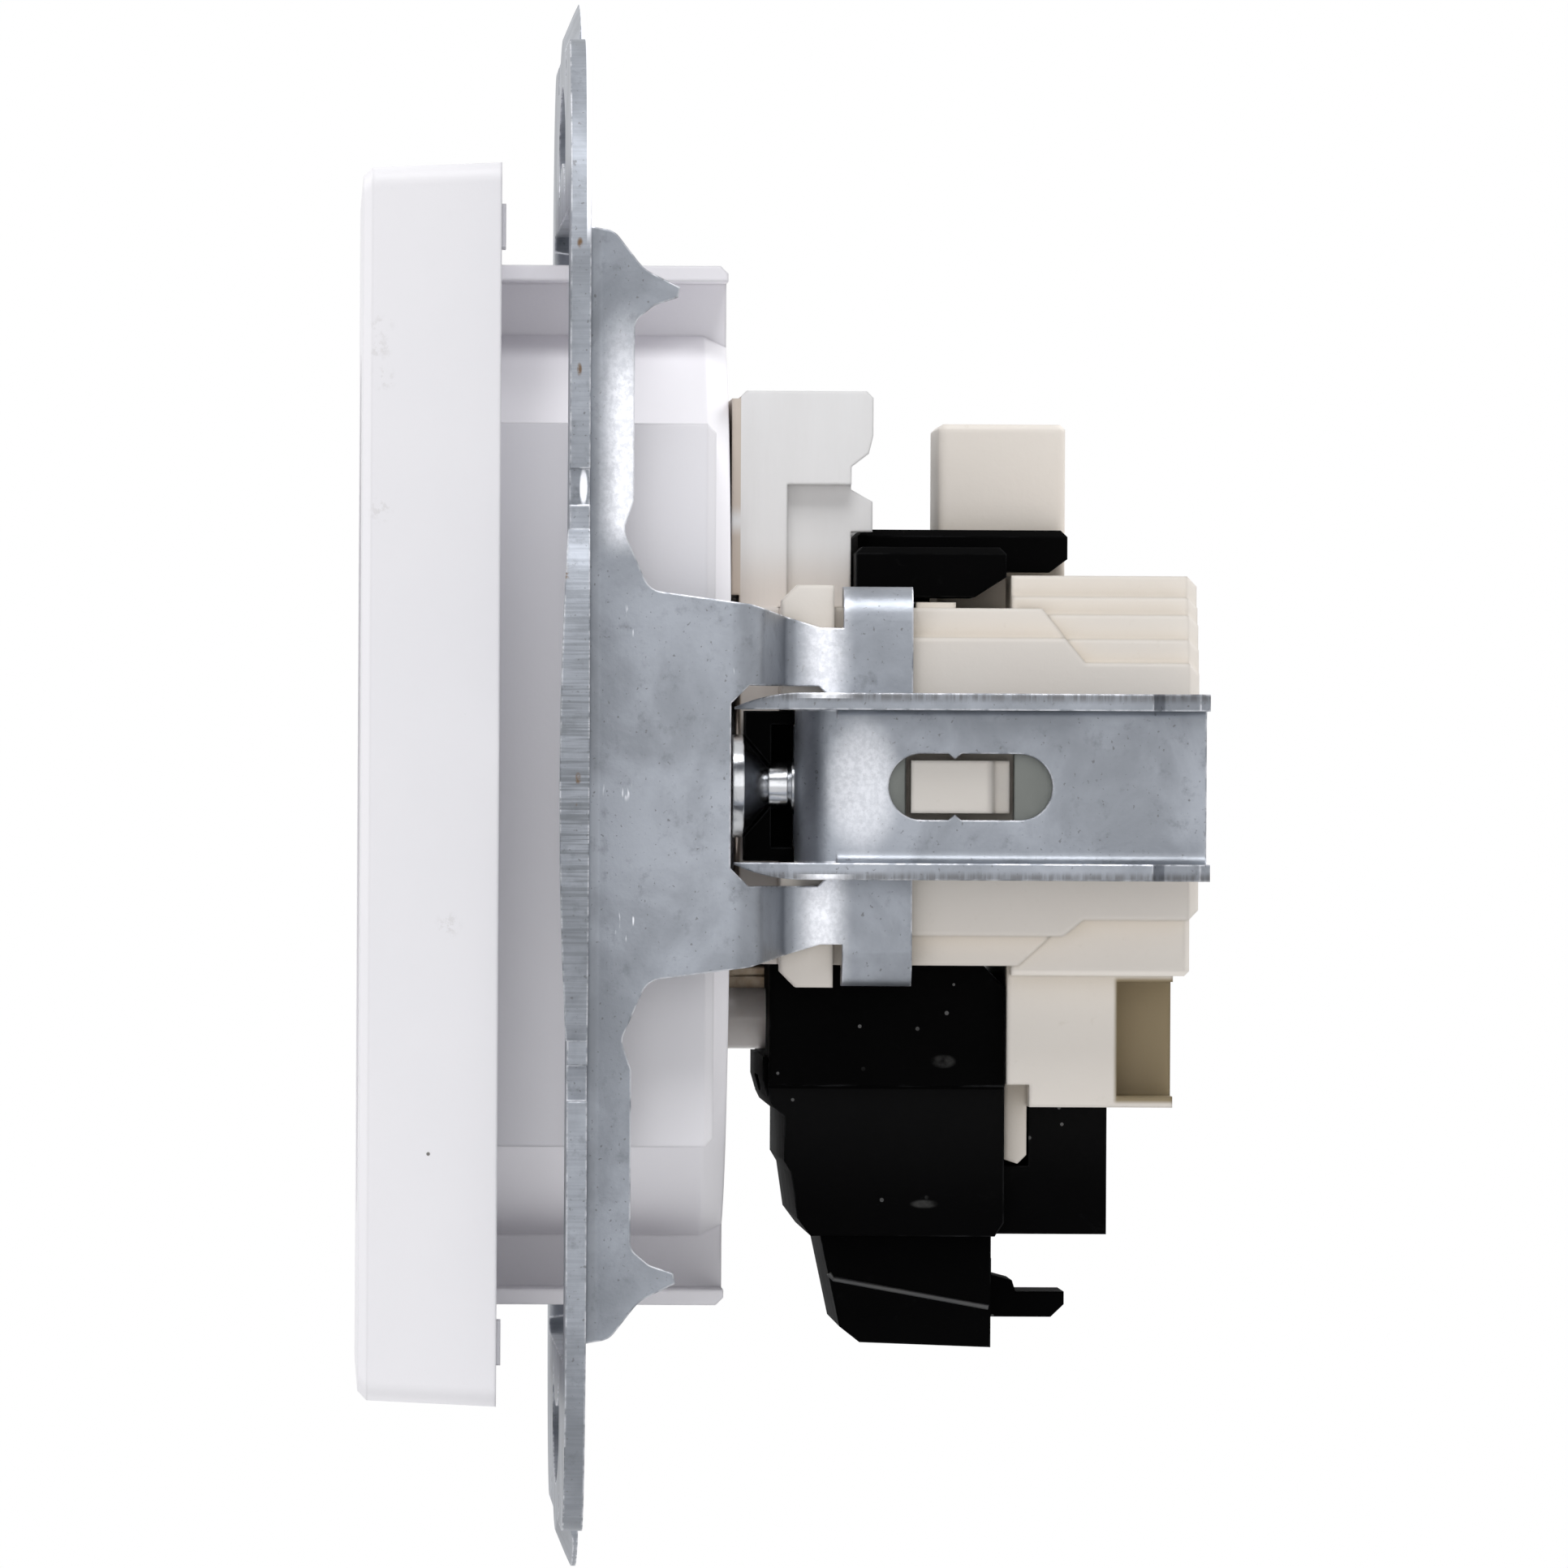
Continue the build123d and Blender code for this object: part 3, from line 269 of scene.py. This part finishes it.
def zincSteel():
    paint = Paint("zincSteel", zincLook["fixed"])
    y, z = paint.axes()[1:]
    # clouded zinc with specks and worn edges
    colour = paint.mix(paint.clouds(**zincLook["clouds"]), zincLook["mid"], zincLook["light"])
    spangle = paint.noise(**zincLook["spangle"])
    patches = paint.ramp(spangle, *zincLook["spangleRange"]) * zincLook["spangleShare"]
    colour = paint.mix(patches, colour, zincLook["dark"])
    specks = paint.clouds(**zincLook["specks"]) * zincLook["speckShare"]
    colour = paint.mix(specks, colour, zincLook["speck"])
    worn = paint.ramp(paint.edgeMask(zincLook["wornEdge"]), *zincLook["wornRange"])
    colour = paint.mix(worn * paint.clouds(**zincLook["wornSpots"]), colour, zincLook["worn"])
    # ribs on the cut edges of the sheet, lines on the claws' rails
    cut = cutEdge(paint)
    shorn = paint.atLeast(cutLook["least"], paint.band(z, 0.0, cutLook["reach"]))
    ribs = paint.noise(**cutLook["ribs"])
    ribMask = cut * shorn * paint.ramp(ribs, *cutLook["ribRange"]) * cutLook["share"]
    colour = paint.mix(ribMask, colour, zincLook["dark"])
    rail = railEdge(paint)
    lines = paint.atLeast(railLook["least"], paint.clouds(**railLook["lines"]))
    colour = paint.mix(rail * lines * railLook["share"], colour, zincLook["speck"])
    # rust, ticks, a painted highlight on the bright top end of the cut edge, the painted sheen and the
    # painted shade behind the slots
    colour = paint.mix(cut * rustSpots(paint), colour, zincLook["rust"])
    # painted highlight: the cut edge is painted bright towards its top end
    topHighlight = (y > topEdgeHighlight["y"] * mm) * paint.ramp(z, topEdgeHighlight["low"] * mm, topEdgeHighlight["full"] * mm)
    colour = paint.mix(cut * topHighlight * topEdgeHighlight["share"], colour, zincLook["paintedHighlight"])
    ticks = paint.nearAny(tickLook["places"], tickLook["radius"], tickLook["soft"])
    colour = paint.mix(ticks * paint.clouds(**tickLook["marks"]), colour, zincLook["worn"])
    # painted highlights on the flange, legs and web, and a painted glint
    paintedHighlight = paintedSheen(paint)
    colour = paint.mix(paintedHighlight, colour, zincLook["paintedHighlight"])
    colour = paint.mix(shadeBehindSlot(paint), colour, zincLook["shade"])
    # roughness and relief
    roughness = zincLook["gloss"] + zincLook["glossRange"] * paint.noise(**zincLook["glossSpots"])
    roughness = roughness + zincLook["cutRough"] * cut - zincLook["highlightShine"] * paintedHighlight
    grain = paint.noise(**zincLook["grain"])
    height = spangle * zincLook["spangleHeight"] + grain * zincLook["grainHeight"]
    height = height + cut * shorn * ribs * zincLook["ribHeight"] + rail * lines * zincLook["railHeight"]
    return paint.finish(colour, roughness, height, zincLook["depth"], zincLook["edge"])


def cutEdge(paint):  # 1 on the cut edges of the flat sheet
    lean = abs(paint.axis(paint.facing, 1))
    atFront = paint.axis(paint.place, 1) < cutLook["behind"] * mm
    return paint.ramp(1.0 - lean, *cutLook["lean"]) * atFront


def railEdge(paint):  # 1 on the edges of the claws' rails
    x, y, z = paint.axes()
    sideways = abs(paint.axis(paint.facing, 0)) > railLook["facing"]
    mask = sideways * (y > railLook["y"] * mm) * (abs(x) > railLook["x"] * mm)
    return mask * paint.band(abs(z), railLook["z"], railLook["reach"])


def rustSpots(paint):
    spots = paint.clouds(**rustLook["spots"])
    inside = paint.clouds(**rustLook["inside"])
    for middle, reach in rustLook["places"]:
        spots = paint.patch(middle, reach, rustLook["soft"]) * inside + spots
    return spots.held()


sheenLook = {"flangeY": 1.6, "flangeReach": 1.5, "flangeX": 24.0, "flangeZ": (9.8, 12.0, 16.5, 22.0),
             "legY": 10.6, "legReach": 1.5, "legZ": 3.9, "legShare": 0.8,
             "webPlace": (12.3, 0), "webSize": (2.0, 3.6), "webX": 24.5, "webSoft": 0.9, "webShare": 0.55,
             "sparkPlace": (-0.28, 13.1), "sparkSize": (0.2, 0.9), "sparkX": 30.0, "sparkShare": 1.6,
             "grain": {"scale": 3600, "rough": 0.7, "low": 0.36, "high": 0.64}, "least": 0.7}


def paintedSheen(paint):  # painted highlights: brighter bands where the sheet was rolled and bent, a brighter patch on the web and a glint
    x, y, z = paint.axes()
    out = abs(x)
    low, full, start, end = (value * mm for value in sheenLook["flangeZ"])
    grain = paint.atLeast(sheenLook["least"], paint.clouds(**sheenLook["grain"]))
    flange = paint.band(y, sheenLook["flangeY"], sheenLook["flangeReach"])
    flange = flange * (out > sheenLook["flangeX"] * mm)
    flange = flange * paint.ramp(z, low, full) * paint.ramp(z, end, start)
    leg = paint.band(y, sheenLook["legY"], sheenLook["legReach"]) * (abs(z) > sheenLook["legZ"] * mm)
    web = paint.patch(sheenLook["webPlace"], sheenLook["webSize"], sheenLook["webSoft"])
    web = web * (out < sheenLook["webX"] * mm) * sheenLook["webShare"]
    spark = paint.patch(sheenLook["sparkPlace"], sheenLook["sparkSize"])
    spark = spark * (x > sheenLook["sparkX"] * mm) * sheenLook["sparkShare"]
    return ((flange + leg * sheenLook["legShare"] + web + spark) * grain).held()


slotShade = {"y": (13.3, 21.0), "z": 1.7, "x": (19.0, 20.55), "soft": 0.25}


def shadeBehindSlot(paint):  # painted shade: the strap is painted dark where it shows through the claws' slots
    x, y, z = paint.axes()
    low, high = (value * mm for value in slotShade["y"])
    inner, outer = (value * mm for value in slotShade["x"])
    soft = slotShade["soft"] * mm
    across = paint.ramp(abs(z), slotShade["z"] * mm, slotShade["z"] * mm - soft)
    along = paint.ramp(y, low, low + soft) * paint.ramp(y, high, high - soft)
    return across * along * (abs(x) > inner) * (abs(x) < outer)


creamLook = {"fixed": {"Specular IOR Level": 0.4},
             "face": (0.840, 0.792, 0.735), "warm": (0.825, 0.767, 0.707), "grimeAndShade": (0.68, 0.62, 0.54),
             "shade": (0.30, 0.235, 0.135),
             "flow": {"scale": 120, "rough": 0.5, "warp": 0.6, "stretch": (1, 0.4, 1),
                      "low": 0.35, "high": 0.68},
             "grime": {"scale": 1300, "detail": 5, "rough": 0.7, "low": 0.62, "high": 0.76},
             "grimeShare": 0.3, "groove": 1.5, "grooveShare": 0.85,
             "gloss": 0.42, "glossRange": 0.14, "glossSpots": {"scale": 500},
             "grain": {"scale": 2600, "rough": 0.6}, "depth": 0.012, "edge": 0.32}
recessShade = {"middle": (14.9, 25.6, -11.3), "half": (1.9, 1.9, 2.9), "soft": 0.25}


def creamPlastic():
    paint = Paint("creamPlastic", creamLook["fixed"])
    colour = paint.mix(paint.clouds(**creamLook["flow"]), creamLook["face"], creamLook["warm"])
    grime = paint.clouds(**creamLook["grime"]) * creamLook["grimeShare"]
    colour = paint.mix(grime, colour, creamLook["grimeAndShade"])
    # painted shade: inner corners and grooves are darkened, found by ambient occlusion
    grooves = paint.creases(creamLook["groove"]) * creamLook["grooveShare"]
    colour = paint.mix(grooves, colour, creamLook["grimeAndShade"])
    colour = paint.mix(insideRecess(paint), colour, creamLook["shade"])
    return paint.coat(creamLook, colour)


def insideRecess(paint):  # the block's side recesses lie in a warm shadow
    x, y, z = paint.axes()
    mask = 1.0
    for value, middle, reach in zip((abs(x), y, z), recessShade["middle"], recessShade["half"]):
        half = reach * mm
        mask = mask * paint.ramp(abs(value - middle * mm), half, half - recessShade["soft"] * mm)
    return mask


coverLook = {"fixed": {"Specular IOR Level": 0.4},
             "face": (0.838, 0.835, 0.839), "shade": (0.812, 0.807, 0.809), "rim": (0.60, 0.51, 0.43),
             "streaks": {"scale": 260, "stretch": (1, 2.5, 0.3), "low": 0.35, "high": 0.7},
             "rimEnd": 7.05, "rimShare": 0.85, "studAt": 11.9, "studReach": 0.8,
             "lowTop": 11.2, "lowEnd": 8.6, "lowShare": 0.5,
             "gloss": 0.4, "glossRange": 0.12, "glossSpots": {"scale": 600},
             "grain": {"scale": 1500, "detail": 3, "rough": 0.5, "stretch": (1, 3.0, 0.15)},
             "depth": 0.012, "edge": 0.2}


def coverPlastic():
    paint = Paint("coverPlastic", coverLook["fixed"])
    y, z = paint.axes()[1:]
    colour = paint.mix(paint.clouds(**coverLook["streaks"]), coverLook["face"], coverLook["shade"])
    # painted shade: the cover's front edge is painted a warm dark tone, except at the stud
    offStud = 1.0 - paint.band(z, coverLook["studAt"], coverLook["studReach"])
    rim = (y < coverLook["rimEnd"] * mm) * offStud * coverLook["rimShare"]
    colour = paint.mix(rim, colour, coverLook["rim"])
    # painted shade: darker towards the bottom, under the ring's web
    low = paint.ramp(z, coverLook["lowTop"] * mm, coverLook["lowEnd"] * mm) * coverLook["lowShare"]
    colour = paint.mix(low, colour, coverLook["rim"])
    return paint.coat(coverLook, colour)


blackLook = {"fixed": {"Specular IOR Level": 0.025},
             "face": (0.0006, 0.0006, 0.0007), "worn": (0.006, 0.006, 0.0062), "dust": (0.12, 0.12, 0.12),
             "edgeHighlight": (0.035, 0.036, 0.038), "dentHighlight": (0.045, 0.045, 0.044),
             "scuffs": {"scale": 700, "detail": 6, "rough": 0.75, "warp": 0.5, "low": 0.60, "high": 0.74},
             "scuffShare": 0.5, "panel": (-13.55, -19.6), "panelShare": 0.8,
             "dents": [((16.2, -12.3), (0.62, 0.34)), ((15.4, -18.7), (0.7, 0.22))], "dentSoft": 0.6,
             "dentSpots": {"scale": 900, "low": 0.3, "high": 0.6},
             "wornEdge": 0.16, "wornRange": (0.03, 0.25),
             "wornSpots": {"scale": 420, "low": 0.42, "high": 0.62},
             "dustSpecks": {"scale": 950, "size": 0.09, "seed": 0.021},
             "dustPlaces": {"scale": 160, "detail": 2, "low": 0.46, "high": 0.6},
             "gloss": 0.5, "glossRange": 0.2, "glossSpots": {"scale": 380},
             "grain": {"scale": 1800, "detail": 3}, "depth": 0.01, "edge": 0.18}


def blackPlastic():
    paint = Paint("blackPlastic", blackLook["fixed"])
    scuffs = paint.clouds(**blackLook["scuffs"]) * blackLook["scuffShare"]
    colour = paint.mix(scuffs, blackLook["face"], blackLook["worn"])
    # the module is painted a little lighter below the line at -13.55 mm, rising towards it
    rise = paint.axis(paint.place, 2)
    top, low = (value * mm for value in blackLook["panel"])
    panel = (rise < top) * paint.ramp(rise, low, top) * blackLook["panelShare"]
    colour = paint.mix(panel, colour, blackLook["worn"])
    # painted highlights: two dents on the module are painted as lighter patches
    spots = paint.clouds(**blackLook["dentSpots"])
    for middle, reach in blackLook["dents"]:
        dentHighlight = paint.patch(middle, reach, blackLook["dentSoft"]) * spots
        colour = paint.mix(dentHighlight, colour, blackLook["dentHighlight"])
    # painted highlight: the module's edges are painted lighter
    worn = paint.ramp(paint.edgeMask(blackLook["wornEdge"]), *blackLook["wornRange"])
    colour = paint.mix(worn * paint.clouds(**blackLook["wornSpots"]), colour, blackLook["edgeHighlight"])
    dust = paint.specks(**blackLook["dustSpecks"]) * paint.clouds(**blackLook["dustPlaces"])
    colour = paint.mix(dust, colour, blackLook["dust"])
    return paint.coat(blackLook, colour)


beadLook = {"fixed": {"Specular IOR Level": 0.6},
            "face": (0.035, 0.036, 0.038), "other": (0.045, 0.045, 0.044),
            "clouds": {"scale": 500, "detail": 3, "low": 0.4, "high": 0.7},
            "gloss": 0.16, "glossRange": 0.1, "glossSpots": {"scale": 600, "detail": 3},
            "grain": {"scale": 1400, "detail": 2}, "depth": 0.006, "edge": 0.05}
screwLook = {"fixed": {"Metallic": 1.0}, "face": (0.55, 0.56, 0.58), "other": (0.30, 0.31, 0.33),
             "clouds": {"scale": 900, "low": 0.5, "high": 0.75},
             "gloss": 0.14, "glossRange": 0.14, "glossSpots": {"scale": 1200, "detail": 3},
             "grain": {"scale": 3000, "detail": 3}, "depth": 0.008, "edge": 0.1}
brassLook = {"fixed": {"Metallic": 1.0}, "face": (0.50, 0.36, 0.19), "other": (0.19, 0.105, 0.045),
             "clouds": {"scale": 330, "detail": 5, "rough": 0.65, "low": 0.45, "high": 0.72},
             "gloss": 0.28, "glossRange": 0.2, "glossSpots": {"scale": 700},
             "grain": {"scale": 2600, "detail": 3}, "depth": 0.01, "edge": 0.12}
earthLook = {"fixed": {"Metallic": 1.0}, "face": (0.56, 0.47, 0.37), "other": (0.17, 0.10, 0.05),
             "clouds": {"scale": 260, "detail": 5, "rough": 0.6, "low": 0.42, "high": 0.74},
             "gloss": 0.25, "glossRange": 0.2, "glossSpots": {"scale": 800},
             "grain": {"scale": 2600, "detail": 3}, "depth": 0.01, "edge": 0.12}
pipeLook = {"fixed": {"Specular IOR Level": 0.6}, "face": (0.97, 0.91, 0.88), "other": (0.90, 0.80, 0.75),
            "clouds": {"scale": 500, "low": 0.4, "high": 0.7},
            "gloss": 0.16, "glossRange": 0.1, "glossSpots": {"scale": 900, "detail": 3},
            "grain": {"scale": 1500, "detail": 2}, "depth": 0.008, "edge": 0.1}


def twoTone(name, look):  # two colours in soft patches
    paint = Paint(name, look["fixed"])
    colour = paint.mix(paint.clouds(**look["clouds"]), look["face"], look["other"])
    return paint.coat(look, colour)


finishes = {
    "white_plastic": whitePlastic(),
    "zinc_steel": zincSteel(),
    "cream_plastic": creamPlastic(),
    "cover_plastic": coverPlastic(),
    "black_plastic": blackPlastic(),
    "screw_steel": twoTone("brightSteel", screwLook),
    "contact_brass": twoTone("brassStrip", brassLook),
    "earth_strip": twoTone("earthMetal", earthLook),
    "pipe_plastic": twoTone("pipePlastic", pipeLook),
}
print("finishes made:", len(finishes))


def addObject(name, shape, material):
    mesh = bpy.data.meshes.new(name)
    shape.to_mesh(mesh)
    shape.free()
    mesh.materials.append(material)
    made = bpy.data.objects.new(name, mesh)
    bpy.context.scene.collection.objects.link(made)
    return made


lidRidge = {"side": 11.0, "radius": 0.13, "segments": 10,
            "line": [(11.22, -21.9), (11.42, -22.15), (18.4, -23.4)]}


def makeLidRidge():  # the shiny moulded line on the side of the black module
    shape = bmesh.new()
    radius = lidRidge["radius"] * mm
    bmesh.ops.create_circle(shape, cap_ends=True, segments=lidRidge["segments"], radius=radius)
    points = [Vector((lidRidge["side"], y, z)) * mm for y, z in lidRidge["line"]]
    runs = [(after - before).normalized() for before, after in zip(points, points[1:])]
    runs.append(runs[-1])
    turn = runs[0].to_track_quat("Z", "X").to_matrix().to_4x4()
    bmesh.ops.transform(shape, matrix=Matrix.Translation(points[0]) @ turn, verts=shape.verts)
    end = shape.faces[:]
    for start, point, before, after in zip(points, points[1:], runs, runs[1:]):
        grown = bmesh.ops.extrude_face_region(shape, geom=end)["geom"]
        end = [face for face in grown if isinstance(face, bmesh.types.BMFace)]
        corners = list({corner for face in end for corner in face.verts})
        bmesh.ops.translate(shape, verts=corners, vec=point - start)
        spin = before.rotation_difference(after).to_matrix()
        bmesh.ops.rotate(shape, verts=corners, cent=point, matrix=spin)
    bmesh.ops.recalc_face_normals(shape, faces=shape.faces)
    ridge = addObject("lidRidge", shape, twoTone("blackBead", beadLook))
    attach(ridge, "housing")


strapBend = {"half": 3.4, "edge": 0.08, "edgeSegments": 2,
             "outline": [(6.35, -8.95), (7.0, -8.7), (8.9, -8.62),
                         (8.9, -8.12), (7.1, -8.18), (6.35, -8.4)]}


def makeStrapBend():  # the earth strip's step between the plate's pot and the base, as wide as the strip
    shape = bmesh.new()
    half = strapBend["half"]
    corners = [shape.verts.new(Vector((-half, y, z)) * mm) for y, z in strapBend["outline"]]
    side = shape.faces.new(corners)
    grown = bmesh.ops.extrude_face_region(shape, geom=[side])["geom"]
    moved = [item for item in grown if isinstance(item, bmesh.types.BMVert)]
    bmesh.ops.translate(shape, verts=moved, vec=(2 * half * mm, 0, 0))
    bmesh.ops.recalc_face_normals(shape, faces=shape.faces)
    bmesh.ops.bevel(shape, geom=shape.edges[:], offset=strapBend["edge"] * mm,
                    segments=strapBend["edgeSegments"], profile=0.5, affect="EDGES", material=-1)
    bend = addObject("strapBend", shape, finishes["earth_strip"])
    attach(bend, "housing")


for row in frame["record"]["subparts"]:
    mesh = nodes[row["node"]].data
    mesh.materials.clear()
    mesh.materials.append(finishes[row["material_slot"]])
print("finishes put on the CAD pieces")
makeLidRidge()
makeStrapBend()
print("lid ridge and strap bend made")


roomLook = {"floorDrop": 120, "floorHalf": 2000, "floorColour": (0.86, 0.86, 0.86, 1), "floorRough": 0.9,
            "airColour": (1, 1, 1, 1), "air": 0.34, "seenAir": 1.0}


def makeFloor():
    shape = bmesh.new()
    bmesh.ops.create_grid(shape, x_segments=1, y_segments=1, size=roomLook["floorHalf"] * mm)
    bmesh.ops.translate(shape, verts=shape.verts, vec=(0, 0, -roomLook["floorDrop"] * mm))
    fixed = {"Base Color": roomLook["floorColour"], "Roughness": roomLook["floorRough"]}
    addObject("floor", shape, Paint("floorPaint", fixed).material)


def makeAir():  # white behind the object and in its mirror images, softer light on it
    world = bpy.data.worlds.new("air")
    bpy.context.scene.world = world
    world.use_nodes = True
    board = Board(world.node_tree)
    back = board.tree.nodes["Background"]
    names = ("Is Camera Ray", "Is Glossy Ray", "Is Transmission Ray")
    camera, glossy, through = (board.node("ShaderNodeLightPath", output=name) for name in names)
    seen = (camera + glossy + through).held()
    sockets = {"Value": seen, "To Min": roomLook["air"], "To Max": roomLook["seenAir"]}
    board.feed(back.inputs["Strength"], board.node("ShaderNodeMapRange", {}, sockets))
    board.feed(back.inputs["Color"], roomLook["airColour"])


lamps = {
    "key": {"at": (480, 0, 720), "size": 420, "watts": 3.9},
    "fill": {"at": (800, -60, 80), "size": 500, "watts": 0.68},
    "front": {"at": (-200, -800, 420), "size": 600, "watts": 3.2},
    "back": {"at": (-320, 640, 520), "size": 500, "watts": 3.6},
}


def makeLamps():
    for name, look in lamps.items():
        light = bpy.data.lights.new(name, "AREA")
        light.size = look["size"] * mm
        light.energy = look["watts"]
        lamp = bpy.data.objects.new(name, light)
        bpy.context.scene.collection.objects.link(lamp)
        lamp.location = Vector(look["at"]) * mm
        lamp.rotation_euler = (-lamp.location).to_track_quat("-Z", "Y").to_euler()


cameraLook = {"at": (940, -12.47, 0.09), "aim": (0, 9.34, 0.09), "lens": 474.4, "roll": 0.0052,
              "sensor": 36, "near": 10, "far": 20000}


def makeCamera():
    lens = bpy.data.cameras.new("camera")
    lens.lens = cameraLook["lens"]
    lens.sensor_width = cameraLook["sensor"]
    lens.sensor_fit = "HORIZONTAL"
    lens.clip_start = cameraLook["near"] * mm
    lens.clip_end = cameraLook["far"] * mm
    camera = bpy.data.objects.new("camera", lens)
    bpy.context.scene.collection.objects.link(camera)
    at = Vector(cameraLook["at"]) * mm
    aim = Vector(cameraLook["aim"]) * mm
    turn = (aim - at).to_track_quat("-Z", "Y").to_matrix().to_4x4()
    camera.matrix_world = Matrix.Translation(at) @ turn @ Matrix.Rotation(cameraLook["roll"], 4, "Z")
    bpy.context.scene.camera = camera


makeFloor()
makeAir()
makeLamps()
makeCamera()
bpy.context.scene.view_settings.view_transform = "Standard"
print("room, lamps and camera placed")
